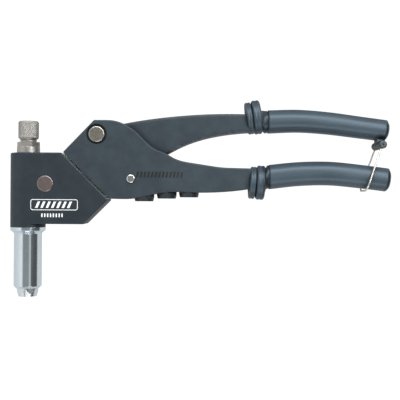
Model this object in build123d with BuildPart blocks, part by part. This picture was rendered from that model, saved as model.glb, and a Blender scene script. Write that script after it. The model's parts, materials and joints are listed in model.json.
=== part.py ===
from build123d import *
import math
import os

os.makedirs("parts", exist_ok=True)

# Swivel-head blind rivet pliers, latched closed.
# Frame: the nose points down along -Z, the handles run towards +X, Y = 0 is the mid plane,
# and the origin is the centre of the fitted nosepiece's mouth. Outlines are (x, z) pairs.

# ---------------------------------------------------------------- driving dimensions, mm
CAST_HALF = 12.35  # half thickness of the head and of the body at the swivel
EDGE = 0.9  # edge rounding of the castings

# swivel joint: its axis climbs 45 degrees from the head into the body
SWIVEL_X = 42.9
SWIVEL_Z = 84.6
FACE_UP = 23.7  # reach of the two faces that turn on each other, above and below the axis
FACE_DOWN = 22.0
FACE_GAP = 0.5  # each face's distance from the swivel's centre plane
SLEEVE_R = 8.0
SLEEVE_INNER_END = -12.2
SLEEVE_FLANGE_R = 10.0
SLEEVE_FLANGE = (2.5, 5.0)
SPRING_SEAT = -6.0  # depth of the return spring's seat in the sleeve
SPRING_BORE_R = 6.1
CLIP_GROOVE = (-11.2, -10.2)
CLIP_SHOULDER = -9.9
RUN = 0.05  # radial clearance of a running fit
GAP = 0.3  # clearance between faces that pass each other

# nose
NOSE_TUBE_R = 9.75
NOSE_FLANGE_R = 12.25
NOSE_FLANGE_BOTTOM = 46.7
NOSE_SPIGOT_R = 8.7
NOSE_SPIGOT_TOP = 60.0
CASE_R = 7.45
HEX_HEIGHT = 5.9
NOSE_HEX_AF = 14.0
NOSE_MOUTH_R = 6.45
NOSE_THREAD_R = 5.0
NOSE_THREAD_TOP = 11.4
NOSE_SPIGOT_END = 17.0
FITTED_BORE_R = 1.55
SPARE_BORE_R = (0.9, 1.15, 1.4)
SPARE_PLACES = ((82.6, 67.8), (98.6, 69.8), (114.4, 70.8))

# head
HEAD_BOTTOM = 51.5
HEAD_TOP = 101.4
COLLAR_BOTTOM = 49.0
BORE_TOP = 93.0
ROCKER_X = 14.4
ROCKER_Z = 79.7
ROCKER_PIN_R = 4.5
ROCKER_PIN_HEAD_R = 5.7
ROCKER_HALF = 7.5
CHAMBER_HALF = ROCKER_HALF + GAP
ROCKER_IN = 16.7
ROCKER_OUT = 14.4
FORK_HALF = 4.8
FORK_TIP_R = 3.2
NECK_R = 4.4
NUT_R = 5.9

# handle lever and what it drives
PIVOT_X = 50.0
PIVOT_Z = 114.4
PIVOT_R = 4.0
PIVOT_HEAD_R = 5.65
BUSH_R = 5.2
BOSS_R = 7.0
LEVER_HALF = 8.0
SLOT_HALF = LEVER_HALF + 0.35
LEVER_ARM = 16.05
ROLLER_R = 5.0
ROLLER_HALF = 4.1
ROLLER_PIN_R = 2.5
ROD_R = 4.0
REST_TURN = 16.0  # degrees by which the latched lever is past the middle of its travel
STOP_X = 74.0
STOP_Z = 83.5
STOP_R = 3.0

# handles, grips and latch
CORE_HALF = 4.6
CORE_HEIGHT = 8.4
GRIP_HALF = 10.5
UPPER_GRIP_HEIGHT = 16.0
LOWER_GRIP_HEIGHT = 16.8
GRIP_END_ROUND = 3.0
POCKET_HALF = LEVER_HALF + 0.25
UPPER_CAST_END = 157.5  # where each casting's full section ends, inside its grip's first guard
LOWER_CAST_END = 159.8
# middle and knee of each handle's centre line
UPPER_BEND = ((177.0, 125.1), (203.0, 124.8))
LOWER_BEND = ((177.0, 86.7), (204.0, 88.2))
# guards of the grips: centre x and z, radius, half thickness, lean in degrees
UPPER_GUARDS = ((156.9, 127.2, 11.4, 2.1, 8.6), (162.1, 128.2, 12.1, 3.0, 7.2))
LOWER_GUARDS = ((159.6, 81.4, 11.5, 2.2, -4.8), (165.1, 81.5, 12.2, 3.1, -2.9))
LUG_X = 249.5
LUG_Z = 108.6
LUG_R = 2.85
LUG_HALF = 12.3
LUG_SEAT = 115.2
LUG_STUD_R = 2.0
WIRE_R = 0.62
BAIL_HALF = 9.7  # half distance of the wire's legs where they leave the lug
BAIL_LOW_HALF = 12.6  # and beside the fixed handle's grip
BAIL_ENDS = 5.5  # half distance between the wire's two ends inside the lug
BAIL_DROP = 34.2
LEG_SLOT = (8.6, 10.7)  # where the legs' slots start and end along the lug
BAIL_TILT = 19.0  # degrees by which the hooked bail leans towards the head
BAIL_SWING = 140.0  # and by which it swings open

ROOT_HALF = math.sqrt(0.5)
SWIVEL_DIR = Vector(ROOT_HALF, 0, ROOT_HALF)


# ---------------------------------------------------------------- shared helpers
def swivel_point(along, aside=0.0):
    """(x, z) at a distance along the swivel axis, and aside from it towards the top left."""
    return (
        SWIVEL_X + (along - aside) * ROOT_HALF,
        SWIVEL_Z + (along + aside) * ROOT_HALF,
    )


def swivel_plane(along):
    """Plane square to the swivel axis, with the axis as its normal."""
    x, z = swivel_point(along)
    return Plane(origin=(x, 0, z), x_dir=(0, 1, 0), z_dir=SWIVEL_DIR)


def side_plane(y, x=0.0, z=0.0):
    """Upright plane at a given y, with its normal towards -Y and its own origin at (x, z)."""
    return Plane(origin=(x, y, z), x_dir=(1, 0, 0), z_dir=(0, -1, 0))


def polar(x, z, length, degrees):
    """(x, z) at a distance and an angle from a point of the mid plane."""
    turn = math.radians(degrees)
    return (x + length * math.cos(turn), z + length * math.sin(turn))


def save(builder, name):
    """Label a finished sub-part and write its file."""
    builder.part.label = name
    export_step(builder.part, f"parts/{name}.step")


def on_nose_axis(profile):
    """Turned solid on the nose axis, from (radius, z) corners."""
    with BuildPart() as turned:
        with BuildSketch(Plane.XZ):
            with BuildLine():
                Polyline(*profile, close=True)
            make_face()
        revolve(axis=Axis.Z)
    return turned


def coil(plane, radius, wire_r, length, turns):
    """Compression spring that stands on a plane, along its normal."""
    path = Helix(pitch=(length - 2 * wire_r) / turns, height=length - 2 * wire_r, radius=radius)
    path = plane.offset(wire_r).location * path
    with BuildPart() as spring:
        with BuildSketch(Plane(origin=path @ 0, z_dir=path % 0)):
            Circle(wire_r)
        sweep(path=path, is_frenet=True)
    return spring


def snap_ring(plane, inner_r, outer_r, thickness):
    """Retaining ring with its gap, lying on a plane."""
    with BuildPart() as ring:
        with BuildSketch(plane):
            Circle(outer_r)
            Circle(inner_r, mode=Mode.SUBTRACT)
            with Locations((outer_r, 0)):
                Rectangle(outer_r, inner_r * 0.6, mode=Mode.SUBTRACT)
        extrude(amount=thickness)
    return ring


# ---------------------------------------------------------------- where the linkage rests
ROLLER_X, ROLLER_Z = polar(PIVOT_X, PIVOT_Z, LEVER_ARM, -45 - REST_TURN)
ROD_SHIFT = LEVER_ARM * math.sin(math.radians(REST_TURN))
ROCKER_TURN = math.degrees(math.asin(ROD_SHIFT / ROCKER_IN))
PAD_X, PAD_Z = polar(ROCKER_X, ROCKER_Z, ROCKER_IN, -45 - ROCKER_TURN)
TIP_X, TIP_Z = polar(ROCKER_X, ROCKER_Z, ROCKER_OUT, 180 - ROCKER_TURN)
PAD_R = 4.0
PIVOT_ALONG = ((PIVOT_X - SWIVEL_X) + (PIVOT_Z - SWIVEL_Z)) * ROOT_HALF
ROCKER_ALONG = ((ROCKER_X - SWIVEL_X) + (ROCKER_Z - SWIVEL_Z)) * ROOT_HALF
CONTACT = 0.04  # play left where the linkage's faces push on each other
ROD_TOP = PIVOT_ALONG - ROD_SHIFT - ROLLER_R - CONTACT
ROD_FOOT = ROCKER_ALONG - ROD_SHIFT + PAD_R + CONTACT
NUT_BOTTOM = TIP_Z + FORK_TIP_R + CONTACT


# ---------------------------------------------------------------- head
def build_head_housing():
    """Cast head: round-fronted block with the nose bore, rocker chamber and swivel bore."""
    split_top = swivel_point(-FACE_GAP, FACE_UP)
    split_low = swivel_point(-FACE_GAP, -FACE_DOWN)
    outline = (
        (-CAST_HALF, HEAD_BOTTOM),
        (split_low[0] - (split_low[1] - HEAD_BOTTOM), HEAD_BOTTOM),
        split_low,
        (split_top[0] + (split_top[1] - HEAD_TOP), HEAD_TOP),
        (-CAST_HALF, HEAD_TOP),
    )
    with BuildPart() as head:
        with BuildSketch(Plane.XZ):
            with BuildLine():
                Polyline(*outline, close=True)
            make_face()
        extrude(amount=CAST_HALF, both=True)
        with BuildSketch(Plane.XY.offset(HEAD_BOTTOM)):
            with Locations((split_low[0] / 2, 0)):
                Rectangle(split_low[0], 2 * CAST_HALF)
            Circle(CAST_HALF)
        extrude(amount=HEAD_TOP - HEAD_BOTTOM, mode=Mode.INTERSECT)
        fillet(head.edges().filter_by(Axis.Z, reverse=True), EDGE)
        with BuildSketch(Plane.XY.offset(COLLAR_BOTTOM)):
            Circle(CAST_HALF)
        extrude(amount=HEAD_BOTTOM + EDGE + 0.1 - COLLAR_BOTTOM)
        # nose bore and the plug's threaded hole
        with BuildSketch(Plane.XY.offset(COLLAR_BOTTOM)):
            Circle(NOSE_SPIGOT_R)
        extrude(amount=BORE_TOP - COLLAR_BOTTOM, mode=Mode.SUBTRACT)
        with BuildSketch(Plane.XY.offset(BORE_TOP)):
            Circle(6.0)
        extrude(amount=HEAD_TOP - BORE_TOP, mode=Mode.SUBTRACT)
        # rocker chamber: the rocker's whole sweep
        with BuildSketch(Plane.XZ):
            with BuildLine():
                Polyline(
                    (2.0, 70.0),
                    (ROCKER_X - 2.5, 70.0),
                    polar(ROCKER_X, ROCKER_Z, 22.0, -84),
                    polar(ROCKER_X, ROCKER_Z, 22.4, -72),
                    polar(ROCKER_X, ROCKER_Z, 22.4, -55),
                    polar(ROCKER_X, ROCKER_Z, 22.4, -30),
                    polar(ROCKER_X, ROCKER_Z, 21.8, -8),
                    (24.0, 86.0),
                    (ROCKER_X, 90.0),
                    (2.0, 90.0),
                    close=True,
                )
            make_face()
        extrude(amount=CHAMBER_HALF, both=True, mode=Mode.SUBTRACT)
        # swivel bore, the snap ring's room and the rod's passage
        with BuildSketch(swivel_plane(CLIP_SHOULDER)):
            Circle(SLEEVE_R + RUN)
        extrude(amount=-FACE_GAP - CLIP_SHOULDER, mode=Mode.SUBTRACT)
        with BuildSketch(swivel_plane(CLIP_SHOULDER)):
            Circle(SLEEVE_FLANGE_R)
        extrude(amount=-3.6, mode=Mode.SUBTRACT)
        with BuildSketch(swivel_plane(ROD_FOOT - 2.0)):
            Circle(ROD_R + 1.2)
        extrude(amount=CLIP_SHOULDER - ROD_FOOT, mode=Mode.SUBTRACT)
        # rocker pin: hole, seat of its head and seat of its snap ring
        with BuildSketch(side_plane(0, ROCKER_X, ROCKER_Z)):
            Circle(ROCKER_PIN_R)
        extrude(amount=CAST_HALF, both=True, mode=Mode.SUBTRACT)
        with BuildSketch(side_plane(-CAST_HALF + 1.5, ROCKER_X, ROCKER_Z)):
            Circle(ROCKER_PIN_HEAD_R)
        extrude(amount=1.5, mode=Mode.SUBTRACT)
        with BuildSketch(side_plane(CAST_HALF, ROCKER_X, ROCKER_Z)):
            Circle(7.0)
        extrude(amount=1.8, mode=Mode.SUBTRACT)
    save(head, "head_housing")


def build_nose_tube():
    """Screwed-in nose: flange, tube and the seat of the nosepiece."""
    chamfer = 1.4
    tube = on_nose_axis((
        (NOSE_THREAD_R, HEX_HEIGHT),
        (NOSE_TUBE_R - chamfer, HEX_HEIGHT),
        (NOSE_TUBE_R, HEX_HEIGHT + chamfer),
        (NOSE_TUBE_R, 44.4),
        (NOSE_TUBE_R + 0.7, 45.5),
        (NOSE_FLANGE_R, NOSE_FLANGE_BOTTOM),
        (NOSE_FLANGE_R, COLLAR_BOTTOM),
        (NOSE_SPIGOT_R, COLLAR_BOTTOM),
        (NOSE_SPIGOT_R, NOSE_SPIGOT_TOP),
        (CASE_R + RUN, NOSE_SPIGOT_TOP),
        (CASE_R + RUN, NOSE_THREAD_TOP + 0.2),
        (NOSE_THREAD_R, NOSE_THREAD_TOP + 0.2),
    ))
    save(tube, "nose_tube")


def build_nosepiece(name, x, z, bore_r):
    """Screw-in nosepiece with its mouth downwards at (x, z)."""
    place = Plane(origin=(x, 0, z))
    with BuildPart() as piece:
        with BuildSketch(place):
            RegularPolygon(NOSE_HEX_AF / 2, 6, major_radius=False, rotation=30)
        extrude(amount=HEX_HEIGHT)
        with BuildSketch(place):
            Circle(NOSE_MOUTH_R)
        extrude(amount=HEX_HEIGHT, taper=-14, mode=Mode.INTERSECT)
        with BuildSketch(place.offset(HEX_HEIGHT)):
            Circle(NOSE_THREAD_R)
        extrude(amount=NOSE_THREAD_TOP - HEX_HEIGHT)
        with BuildSketch(place.offset(NOSE_THREAD_TOP)):
            Circle(3.2)
        extrude(amount=NOSE_SPIGOT_END - NOSE_THREAD_TOP, taper=7)
        with BuildSketch(place):
            Circle(bore_r)
        extrude(amount=NOSE_SPIGOT_END, mode=Mode.SUBTRACT)
    save(piece, name)


def build_plug():
    """Hexagon plug that closes the top of the nose bore."""
    hex_bottom = 105.7
    hex_top = 109.3
    with BuildPart() as plug:
        with BuildSketch(Plane.XY.offset(BORE_TOP)):
            Circle(6.0)
        extrude(amount=HEAD_TOP - BORE_TOP)
        with BuildSketch(Plane.XY.offset(HEAD_TOP)):
            Circle(8.05)
        extrude(amount=hex_bottom - HEAD_TOP)
        with BuildSketch(Plane.XY.offset(hex_bottom)):
            RegularPolygon(7.0, 6, major_radius=False)
        extrude(amount=hex_top - hex_bottom)
        with BuildSketch(Plane.XY.offset(BORE_TOP)):
            Circle(3.0)
        extrude(amount=hex_top - BORE_TOP, mode=Mode.SUBTRACT)
        with BuildSketch(Plane.XY.offset(102.5)):
            Circle(4.5 + RUN)
        extrude(amount=hex_top - 102.5, mode=Mode.SUBTRACT)
    save(plug, "hex_plug")


def build_knob():
    """Knurled outlet knob that turns in the plug, bored through for spent mandrels."""
    knob = on_nose_axis((
        (2.7, 102.8),
        (4.5, 102.8),
        (4.5, 109.6),
        (5.6, 109.6),
        (5.6, 110.4),
        (6.4, 111.6),
        (7.2, 112.3),
        (7.2, 123.3),
        (6.5, 124.0),
        (3.4, 124.0),
        (2.7, 123.3),
    ))
    save(knob, "mandrel_knob")


def build_headed_pin(name, x, z, radius, head_r, head_floor, dome):
    """Pin from front to back, with a domed head in front and a ring groove behind."""
    back = CAST_HALF - 0.4
    with BuildPart() as pin:
        with BuildSketch(side_plane(back, x, z)):
            Circle(radius)
        extrude(amount=back + head_floor)
        with BuildSketch(side_plane(-head_floor, x, z)):
            Circle(head_r)
        extrude(amount=CAST_HALF - head_floor + dome)
        front = pin.faces().sort_by(Axis.Y)[0]
        fillet(front.edges(), dome + 0.25)
        with BuildSketch(side_plane(CAST_HALF - 0.7, x, z)):
            Circle(radius)
            Circle(radius - 0.6, mode=Mode.SUBTRACT)
        extrude(amount=0.9, mode=Mode.SUBTRACT)
    save(pin, name)


def build_pin_ring(name, x, z, radius):
    """Snap ring in the groove at the back end of a pin."""
    ring = snap_ring(side_plane(CAST_HALF - 0.7, x, z), radius - 0.6, radius + 1.9, 0.9)
    save(ring, name)


def build_rocker():
    """Bell crank: padded arm under the push rod, forked arm under the jaw case's nut."""
    prong = 1.5
    arm_turn = math.radians(-45 - ROCKER_TURN)
    arm_plane = Plane(
        origin=(ROCKER_X, 0, ROCKER_Z),
        x_dir=(math.cos(arm_turn), 0, math.sin(arm_turn)),
        z_dir=(0, -1, 0),
    )
    with BuildPart() as rocker:
        with BuildSketch(Plane.XZ):
            with Locations((ROCKER_X, ROCKER_Z)):
                Circle(8.0)
            with Locations((TIP_X, TIP_Z)):
                Circle(FORK_TIP_R)
            middle = ((TIP_X + ROCKER_X) / 2, (TIP_Z + ROCKER_Z) / 2)
            with Locations(middle):
                Rectangle(ROCKER_OUT, 2 * prong, rotation=-ROCKER_TURN)
        extrude(amount=ROCKER_HALF, both=True)
        with BuildSketch(Plane.XZ):
            with Locations(((ROCKER_X - 8.0) / 2 - 2.0, ROCKER_Z + 2.0)):
                Rectangle(ROCKER_X - 8.0 + 4.6, 16.0)
        extrude(amount=FORK_HALF, both=True, mode=Mode.SUBTRACT)
        # padded arm, slim on the side that passes beside the push rod
        with BuildSketch(arm_plane):
            with BuildLine():
                Polyline(
                    (0, -7.0),
                    (ROCKER_IN, -3.8),
                    (ROCKER_IN, 2.2),
                    (11.0, 2.2),
                    (4.0, 7.0),
                    close=True,
                )
            make_face()
            with Locations((ROCKER_IN, 0)):
                Circle(PAD_R)
        extrude(amount=5.0, both=True)
        with BuildSketch(Plane.XZ):
            with Locations((ROCKER_X, ROCKER_Z)):
                Circle(6.0)
        extrude(amount=ROCKER_HALF, both=True, mode=Mode.SUBTRACT)
    save(rocker, "rocker_lever")


def build_bush(name, x, z, inner_r, outer_r, half):
    """Plain bearing bush across the mid plane."""
    with BuildPart() as bush:
        with BuildSketch(Plane.XZ):
            with Locations((x, z)):
                Circle(outer_r)
                Circle(inner_r, mode=Mode.SUBTRACT)
        extrude(amount=half, both=True)
    save(bush, name)


# ---------------------------------------------------------------- jaw unit in the nose
CASE_BOTTOM = 20.5
CASE_JOIN = 44.0
CASE_TOP = 58.0
CONE_MOUTH_R = 3.4
CONE_TOP_R = 5.6
CONE_TOP = 34.5
JAW_BOTTOM = 23.5
JAW_TOP = 33.5
PUSHER_TOP = 41.0
JAW_PLAY = 0.12


def cone_r(z):
    """Radius of the jaw case's cone at a height."""
    share = (z - CASE_BOTTOM) / (CONE_TOP - CASE_BOTTOM)
    return CONE_MOUTH_R + share * (CONE_TOP_R - CONE_MOUTH_R)


def build_jaw_case():
    """Lower half of the jaw case, with the closing cone."""
    case = on_nose_axis((
        (CONE_MOUTH_R, CASE_BOTTOM),
        (CASE_R - 0.6, CASE_BOTTOM),
        (CASE_R, CASE_BOTTOM + 0.6),
        (CASE_R, CASE_JOIN),
        (6.6, CASE_JOIN),
        (6.6, 38.0),
        (CONE_TOP_R, 38.0),
        (CONE_TOP_R, CONE_TOP),
    ))
    save(case, "jaw_case")


def build_case_coupler():
    """Upper half of the jaw case, drawn up by its long neck."""
    coupler = on_nose_axis((
        (CONE_TOP_R, 38.0),
        (6.6, 38.0),
        (6.6, CASE_JOIN),
        (CASE_R, CASE_JOIN),
        (CASE_R, CASE_TOP),
        (NECK_R, CASE_TOP),
        (NECK_R, NUT_BOTTOM + 4.0),
        (2.6, NUT_BOTTOM + 4.0),
        (2.6, CASE_TOP - 2.0),
        (CONE_TOP_R, CASE_TOP - 2.0),
    ))
    save(coupler, "jaw_case_coupler")


def build_case_nut():
    """Nut on the neck of the jaw case, lifted by the rocker's fork."""
    nut = on_nose_axis((
        (NECK_R, NUT_BOTTOM),
        (NUT_R, NUT_BOTTOM),
        (NUT_R, NUT_BOTTOM + 4.0),
        (NECK_R, NUT_BOTTOM + 4.0),
    ))
    save(nut, "jaw_case_nut")


def build_jaws():
    """Three jaws in the cone, 120 degrees apart."""
    for index in range(3):
        with BuildPart() as jaw:
            with BuildSketch(Plane.XZ):
                with BuildLine():
                    Polyline(
                        (1.5, JAW_BOTTOM),
                        (cone_r(JAW_BOTTOM) - JAW_PLAY, JAW_BOTTOM),
                        (cone_r(JAW_TOP) - JAW_PLAY, JAW_TOP),
                        (2.6, JAW_TOP),
                        (1.5, JAW_TOP - 1.8),
                        close=True,
                    )
                make_face()
            revolve(axis=Axis.Z, revolution_arc=104)
        turned = jaw.part.rotate(Axis.Z, 120 * index + 38)
        turned.label = f"jaw_{index + 1}"
        export_step(turned, f"parts/jaw_{index + 1}.step")


def build_pusher():
    """Spring-loaded sleeve that keeps the jaws together in the cone."""
    pusher = on_nose_axis((
        (1.9, JAW_TOP + 0.1),
        (2.6, JAW_TOP + 0.1),
        (5.2, JAW_TOP + 2.4),
        (5.2, JAW_TOP + 4.6),
        (3.4, JAW_TOP + 4.6),
        (3.4, PUSHER_TOP),
        (1.9, PUSHER_TOP),
    ))
    save(pusher, "jaw_pusher")


def build_jaw_spring():
    """Spring between the pusher's shoulder and the coupler's floor."""
    bottom = JAW_TOP + 4.65
    spring = coil(Plane.XY.offset(bottom), 4.45, 0.5, CASE_TOP - 2.05 - bottom, 8)
    save(spring, "jaw_spring")


# ---------------------------------------------------------------- swivel and push rod
def build_swivel_sleeve():
    """Hollow swivel axle: flanged in the body, snap-ringed in the head."""
    with BuildPart() as sleeve:
        with BuildSketch(swivel_plane(SLEEVE_INNER_END)):
            Circle(SLEEVE_R)
        extrude(amount=SLEEVE_FLANGE[0] - SLEEVE_INNER_END)
        with BuildSketch(swivel_plane(SLEEVE_FLANGE[0])):
            Circle(SLEEVE_FLANGE_R)
        extrude(amount=SLEEVE_FLANGE[1] - SLEEVE_FLANGE[0])
        with BuildSketch(swivel_plane(SLEEVE_INNER_END)):
            Circle(ROD_R + RUN)
        extrude(amount=SLEEVE_FLANGE[1] - SLEEVE_INNER_END, mode=Mode.SUBTRACT)
        with BuildSketch(swivel_plane(SPRING_SEAT)):
            Circle(SPRING_BORE_R)
        extrude(amount=SLEEVE_FLANGE[1] - SPRING_SEAT, mode=Mode.SUBTRACT)
        with BuildSketch(swivel_plane(CLIP_GROOVE[0])):
            Circle(SLEEVE_R)
            Circle(SLEEVE_R - 0.8, mode=Mode.SUBTRACT)
        extrude(amount=CLIP_GROOVE[1] - CLIP_GROOVE[0], mode=Mode.SUBTRACT)
    save(sleeve, "swivel_sleeve")
    width = CLIP_GROOVE[1] - CLIP_GROOVE[0]
    save(snap_ring(swivel_plane(CLIP_GROOVE[0]), SLEEVE_R - 0.8, 9.5, width), "swivel_snap_ring")


def build_swivel_washer():
    """Thrust washer between the two turning faces."""
    with BuildPart() as washer:
        with BuildSketch(swivel_plane(-FACE_GAP + GAP)):
            Circle(CAST_HALF - 0.6)
            Circle(SLEEVE_R, mode=Mode.SUBTRACT)
        extrude(amount=2 * FACE_GAP - GAP)
    save(washer, "swivel_washer")


ROD_COLLAR = (ROD_TOP - 6.0, ROD_TOP - 4.0)


def build_push_rod():
    """Rod through the swivel, with the collar that the return spring lifts."""
    with BuildPart() as rod:
        with BuildSketch(swivel_plane(ROD_FOOT)):
            Circle(ROD_R)
        extrude(amount=ROD_TOP - ROD_FOOT)
        with BuildSketch(swivel_plane(ROD_COLLAR[0])):
            Circle(SPRING_BORE_R - GAP)
        extrude(amount=ROD_COLLAR[1] - ROD_COLLAR[0])
    save(rod, "push_rod")


def build_return_spring():
    """Coil that pushes the rod, and so the upper handle, open."""
    length = ROD_COLLAR[0] - SPRING_SEAT - 0.1
    save(coil(swivel_plane(SPRING_SEAT + 0.05), 5.05, 0.65, length, 7), "return_spring")


# ---------------------------------------------------------------- body and its fixed handle
def handle_path(start, middle, knee, end):
    """Centre line of a handle: an arc up to the knee, and a second arc on from it."""
    with BuildLine(Plane.XZ) as line:
        rise = ThreePointArc(start, middle, knee)
        TangentArc(knee, end, tangent=rise % 1)
    return line.line


def core_section(height, half, corner):
    """Rounded section of a handle core or grip, square to the X axis."""
    RectangleRounded(2 * half, height, corner)


def section_plane(path, share):
    """Plane square to a path of the mid plane, with its own x along Y."""
    return Plane(origin=path @ share, x_dir=(0, 1, 0), z_dir=path % share)


LOWER_CORE = handle_path((150.0, 84.0), *LOWER_BEND, (252.5, 84.3))
UPPER_CORE = handle_path((150.0, 123.2), *UPPER_BEND, (251.0, 119.4))


def build_body_casting():
    """Cast body: swivel block, two cheeks round the lever, and the fixed handle."""
    corner = swivel_point(FACE_GAP, FACE_UP)
    heel = swivel_point(FACE_GAP, -FACE_DOWN)
    with BuildPart() as body:
        with BuildSketch(Plane.XZ):
            with BuildLine():
                Polyline((LOWER_CAST_END, 91.4), (LOWER_CAST_END, 77.3))
                Spline((LOWER_CAST_END, 77.3), (139.5, 74.8), (125.0, 74.2), (107.0, 74.6))
                Spline((107.0, 74.6), (89.9, 72.9), (72.1, 69.4), heel, tangents=((-1, 0), (-1, 0)))
                Polyline(heel, corner, (48.1, 124.3), (57.5, 124.3))
                Spline(
                    (57.5, 124.3),
                    (67.6, 122.3),
                    (77.0, 116.6),
                    (86.4, 107.4),
                    (96.5, 102.0),
                    tangents=((1, 0), (1, -0.35)),
                )
                Spline(
                    (96.5, 102.0),
                    (103.9, 98.1),
                    (118.0, 94.7),
                    (132.3, 92.6),
                    (LOWER_CAST_END, 91.4),
                    tangents=((1, -0.35), (1, -0.02)),
                )
            make_face()
        extrude(amount=CAST_HALF, both=True)
        # seen from above the casting narrows towards the handle
        with BuildSketch(Plane.XY.offset(60.0)):
            with BuildLine():
                upper = Spline(
                    (95.0, CAST_HALF),
                    (112.0, 10.6),
                    (130.0, 8.6),
                    (162.0, 8.0),
                    tangents=((1, 0), (1, 0)),
                )
                Polyline(upper @ 0, (20.0, CAST_HALF), (20.0, -CAST_HALF), (95.0, -CAST_HALF))
                lower = Spline(
                    (95.0, -CAST_HALF),
                    (112.0, -10.6),
                    (130.0, -8.6),
                    (162.0, -8.0),
                    tangents=((1, 0), (1, 0)),
                )
                Line(lower @ 1, upper @ 1)
            make_face()
        extrude(amount=80.0, mode=Mode.INTERSECT)
        fillet(body.edges(), EDGE)
        # core inside the grip
        with BuildSketch(section_plane(LOWER_CORE, 0)):
            core_section(CORE_HEIGHT, CORE_HALF, 2.0)
        sweep(path=LOWER_CORE)
        # slot for the lever, open at the top and towards the handles
        with BuildSketch(Plane.XZ):
            with BuildLine():
                Polyline(
                    swivel_point(15.0, 30.0),
                    swivel_point(15.0, -9.0),
                    (64.0, 84.0),
                    (78.0, 84.0),
                    (98.0, 97.2),
                    (106.0, 97.2),
                    (106.0, 140.0),
                    (36.0, 140.0),
                    close=True,
                )
            make_face()
        extrude(amount=SLOT_HALF, both=True, mode=Mode.SUBTRACT)
        # swivel bore and the room of the flange, spring and rod
        with BuildSketch(swivel_plane(FACE_GAP)):
            Circle(SLEEVE_R)
        extrude(amount=SLEEVE_FLANGE[0] - FACE_GAP, mode=Mode.SUBTRACT)
        with BuildSketch(swivel_plane(SLEEVE_FLANGE[0])):
            Circle(SLEEVE_FLANGE_R)
        extrude(amount=16.0 - SLEEVE_FLANGE[0], mode=Mode.SUBTRACT)
        # pivot hole with its two seats, and the stop pin's hole
        with BuildSketch(side_plane(0, PIVOT_X, PIVOT_Z)):
            Circle(PIVOT_R)
        extrude(amount=CAST_HALF, both=True, mode=Mode.SUBTRACT)
        with BuildSketch(side_plane(-CAST_HALF + 1.4, PIVOT_X, PIVOT_Z)):
            Circle(7.1)
        extrude(amount=1.4, mode=Mode.SUBTRACT)
        with BuildSketch(side_plane(CAST_HALF, PIVOT_X, PIVOT_Z)):
            Circle(6.6)
        extrude(amount=1.8, mode=Mode.SUBTRACT)
        with BuildSketch(side_plane(0, STOP_X, STOP_Z)):
            Circle(STOP_R)
        extrude(amount=CAST_HALF, both=True, mode=Mode.SUBTRACT)
        # sockets of the three spare nosepieces
        for x, z in SPARE_PLACES:
            with BuildSketch(Plane(origin=(x, 0, z))):
                Circle(NOSE_HEX_AF / 2 + 1.3)
            extrude(amount=HEX_HEIGHT, mode=Mode.SUBTRACT)
            with BuildSketch(Plane(origin=(x, 0, z + HEX_HEIGHT))):
                Circle(NOSE_THREAD_R)
            extrude(amount=NOSE_SPIGOT_END - HEX_HEIGHT + 0.5, mode=Mode.SUBTRACT)
    save(body, "body_casting")
    return body


def build_stop_pin():
    """Domed pin across the cheeks that stops the lever's heel."""
    dome = 0.9
    with BuildPart() as pin:
        with BuildSketch(side_plane(0, STOP_X, STOP_Z)):
            Circle(STOP_R)
        extrude(amount=CAST_HALF + dome, both=True)
        ends = pin.faces().filter_by(Axis.Y)
        fillet(ends.edges(), dome)
    save(pin, "stop_pin")


# ---------------------------------------------------------------- moving handle
def build_lever():
    """Cast lever: forked roller arm, pivot boss, heel and handle core."""
    with BuildPart() as lever:
        with BuildSketch(Plane.XZ):
            with BuildLine():
                Polyline((UPPER_CAST_END, 117.4), (UPPER_CAST_END, 129.3))
                Spline((UPPER_CAST_END, 129.3), (125.0, 129.0), (96.7, 126.6), (72.0, 122.8), (55.5, 119.0))
                Polyline(
                    (55.5, 119.0),
                    (46.0, 111.0),
                    polar(ROLLER_X, ROLLER_Z, 4.4, 200),
                    polar(ROLLER_X, ROLLER_Z, 4.4, -50),
                    (71.0, 88.4),
                    (78.0, 88.4),
                    (92.0, 97.8),
                    (103.6, 104.0),
                )
                Spline((103.6, 104.0), (118.0, 110.4), (132.0, 114.2), (UPPER_CAST_END, 117.4))
            make_face()
            with Locations((PIVOT_X, PIVOT_Z)):
                Circle(BOSS_R)
            with Locations((ROLLER_X, ROLLER_Z)):
                Circle(ROLLER_R - 0.4)
        extrude(amount=LEVER_HALF, both=True)
        # the fork that holds the roller
        with BuildSketch(side_plane(0, PIVOT_X, PIVOT_Z)):
            with Locations(Location((0, 0), -45 - REST_TURN)):
                with Locations((LEVER_ARM + 1.0, 0)):
                    Rectangle(17.0, 26.0)
        extrude(amount=ROLLER_HALF + GAP, both=True, mode=Mode.SUBTRACT)
        with BuildSketch(section_plane(UPPER_CORE, 0)):
            core_section(CORE_HEIGHT, CORE_HALF, 2.0)
        sweep(path=UPPER_CORE)
        with BuildSketch(Plane.XZ):
            with Locations((PIVOT_X, PIVOT_Z)):
                Circle(BUSH_R)
            with Locations((ROLLER_X, ROLLER_Z)):
                Circle(ROLLER_PIN_R)
        extrude(amount=LEVER_HALF, both=True, mode=Mode.SUBTRACT)
        # bolt hole of the latch lug
        with BuildSketch(Plane(origin=(LUG_X, 0, 100.0))):
            Circle(LUG_STUD_R)
        extrude(amount=22.0, mode=Mode.SUBTRACT)
    save(lever, "upper_handle_lever")
    return lever


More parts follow.
